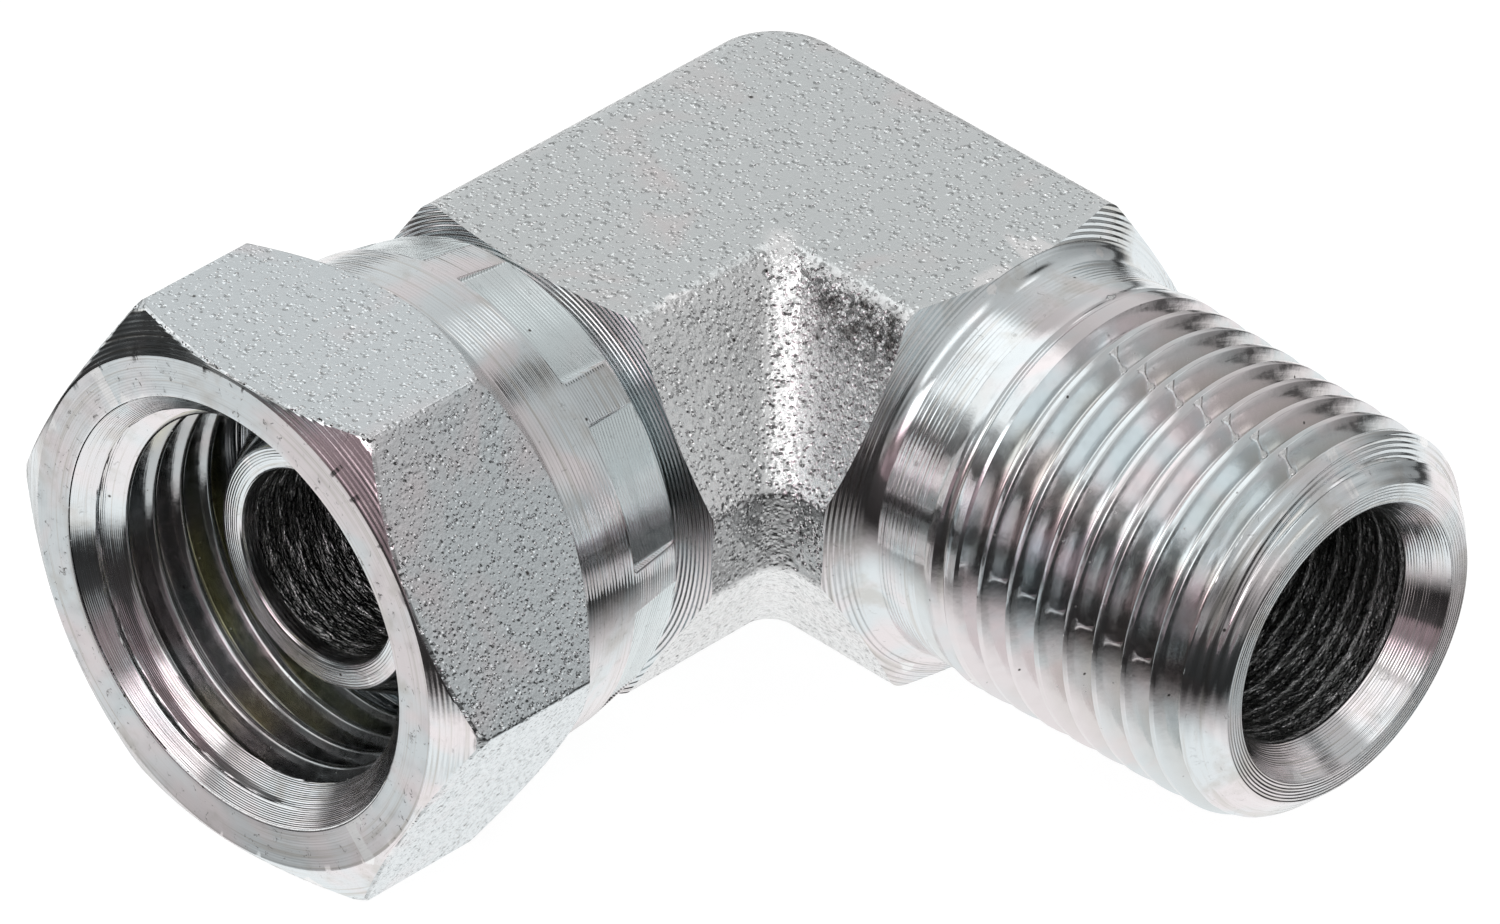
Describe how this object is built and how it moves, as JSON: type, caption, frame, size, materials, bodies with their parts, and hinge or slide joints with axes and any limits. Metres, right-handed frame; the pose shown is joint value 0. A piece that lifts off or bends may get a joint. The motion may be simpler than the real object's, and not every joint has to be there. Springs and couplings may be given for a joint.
{
  "type": "hydraulic coupling adapter",
  "caption": "Right-angle steel adapter for hydraulic lines: forged block with a tapered male thread on one leg and a swivelling hexagon nut on the other.",
  "frame": {"origin": "where the axes of the two legs cross, inside the forged block", "axes": "+X along the male leg, out of its mouth; -Y along the nut leg, out of the nut; +Z square to both, up from the block's flat top"},
  "size_m": [0.0536, 0.0492, 0.027],
  "materials": {
    "plated_steel": "bright zinc plate, blasted on the forged walls and turned on the threads and shoulders",
    "plated_nut_steel": "bright zinc plate, fine lathe lines on the chamfers and collar"
  },
  "bodies": {
    "elbow": {"elbow_body": "plated_steel"},
    "nut": {"swivel_nut": "plated_nut_steel"}
  },
  "joints": [
    {"name": "nut_swivel", "type": "hinge", "parent": "elbow", "child": "nut", "pos_m": [0, -0.024, 0], "axis": [0, -1, 0], "continuous": true}
  ]
}
